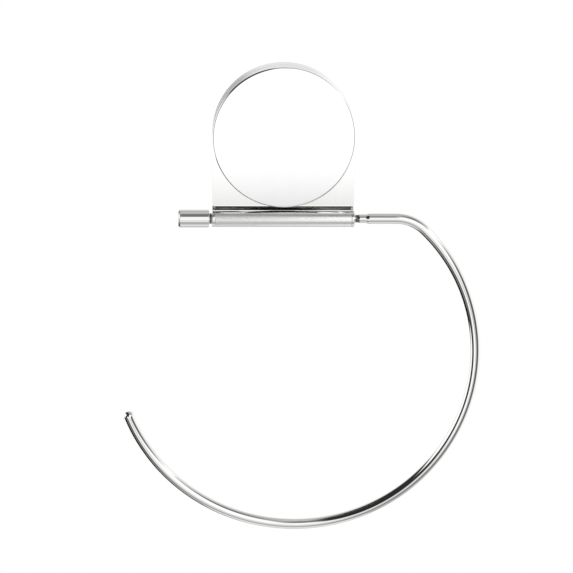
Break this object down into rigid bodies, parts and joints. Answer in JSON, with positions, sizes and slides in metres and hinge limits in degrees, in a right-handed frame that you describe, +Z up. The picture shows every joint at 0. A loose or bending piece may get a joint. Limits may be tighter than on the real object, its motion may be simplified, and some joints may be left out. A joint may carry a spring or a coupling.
{
  "type": "towel ring",
  "caption": "Wall-mounted towel ring: a round rose holds a leaf whose rolled edge is a hinge barrel, in which an open round ring swings.",
  "frame": {"origin": "on the wall, on the axis of the round rose", "axes": "+Y into the wall, +Z up, +X to the right seen from the front"},
  "size_m": [0.1738, 0.0174, 0.2316],
  "materials": {
    "polished_chrome": "polished",
    "polished_sheet": "polished",
    "polished_rod": "polished",
    "bush_steel": "polished",
    "cast_base": "satin",
    "zinc_steel": "satin",
    "screw_steel": "satin"
  },
  "bodies": {
    "wall_fitting": {"base_cup": "cast_base", "wall_bracket": "zinc_steel", "grub_screw": "screw_steel", "hinge_leaf": "polished_sheet", "leaf_screws": "screw_steel", "front_cover": "polished_chrome", "cover_stud": "screw_steel", "stud_washer": "zinc_steel", "stud_nut": "zinc_steel", "bush_left": "bush_steel", "bush_right": "bush_steel"},
    "ring": {"ring_rod": "polished_rod", "end_knob": "polished_rod"}
  },
  "joints": [
    {"name": "ring_swing", "type": "hinge", "parent": "wall_fitting", "child": "ring", "pos_m": [0, -0.0132, -0.0398], "axis": [-1, 0, 0], "range_deg": [-3.5, 183.5]}
  ]
}
